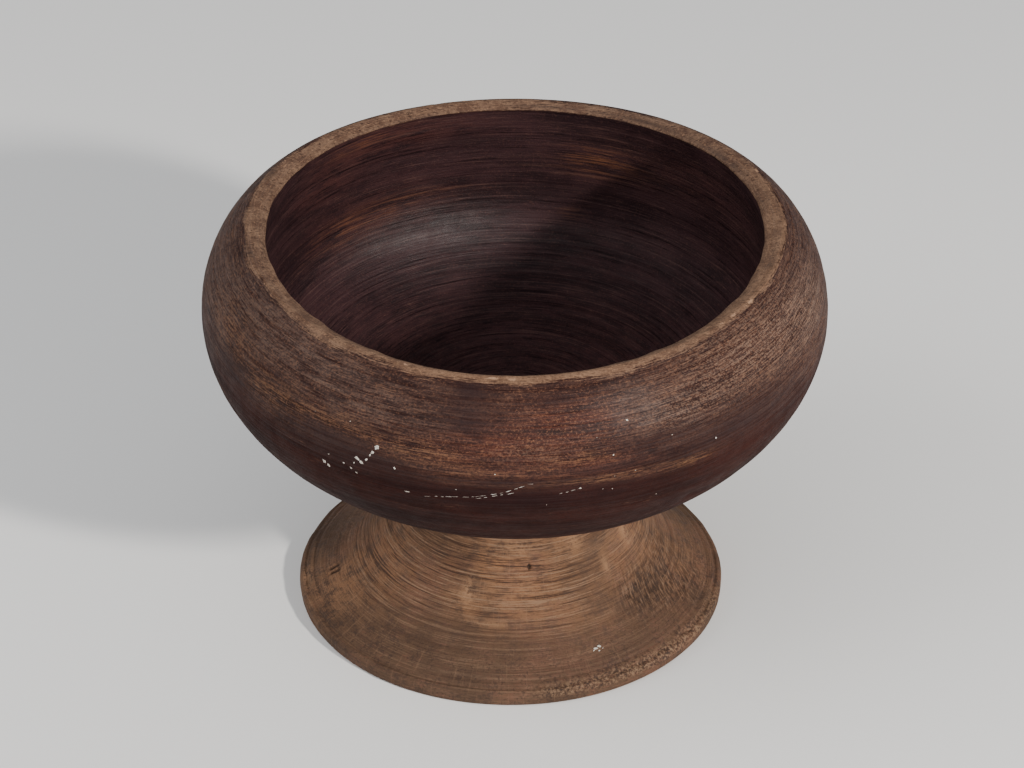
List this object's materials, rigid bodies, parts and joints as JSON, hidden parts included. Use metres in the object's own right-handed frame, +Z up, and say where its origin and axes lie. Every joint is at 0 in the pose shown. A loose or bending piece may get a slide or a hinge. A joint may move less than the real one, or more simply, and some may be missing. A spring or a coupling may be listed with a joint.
{
  "type": "wooden pedestal bowl",
  "caption": "Wide turned wooden bowl with an incurved rim on a separately turned flared foot: dark stained bowl, bare weathered foot.",
  "frame": {"origin": "centre of the ring that the foot rests on", "axes": "+Z up along the turning axis, +X along the grain of the bowl and the foot, -Y towards the front of the picture"},
  "size_m": [0.284, 0.284, 0.1996],
  "materials": {
    "stained_wood": "worn dark red-brown stain over lathe-turned wood",
    "bare_wood": "bare weathered wood with lathe grooves",
    "joint_wood": "bare cut wood",
    "paint_spatter": "dried off-white house paint"
  },
  "bodies": {
    "root": {"bowl": "stained_wood", "foot": "bare_wood", "dowel": "joint_wood", "fox_wedge": "joint_wood", "foot_wedge": "joint_wood"}
  },
  "joints": []
}
